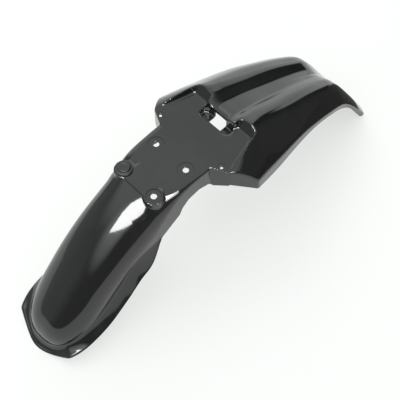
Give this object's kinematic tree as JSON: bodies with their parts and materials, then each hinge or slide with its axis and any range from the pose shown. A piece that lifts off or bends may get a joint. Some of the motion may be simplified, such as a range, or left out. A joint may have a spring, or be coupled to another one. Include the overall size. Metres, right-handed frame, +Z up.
{
  "type": "motorcycle front mudguard",
  "caption": "Arched plastic front mudguard for a motorcycle, with a flat bolted mounting plate, a ribbed nose, flared tail brim and an air window.",
  "frame": {"origin": "centre of the square of four mounting holes, on the top face of the flat plate", "axes": "+X forward along the nose, +Y to the rider's left, +Z up from the plate"},
  "size_m": [0.7923, 0.238, 0.2636],
  "materials": {
    "black_plastic": "gloss",
    "black_rubber": "matte"
  },
  "bodies": {
    "root": {"mudguard": "black_plastic", "rubber_plug": "black_rubber"}
  },
  "joints": []
}
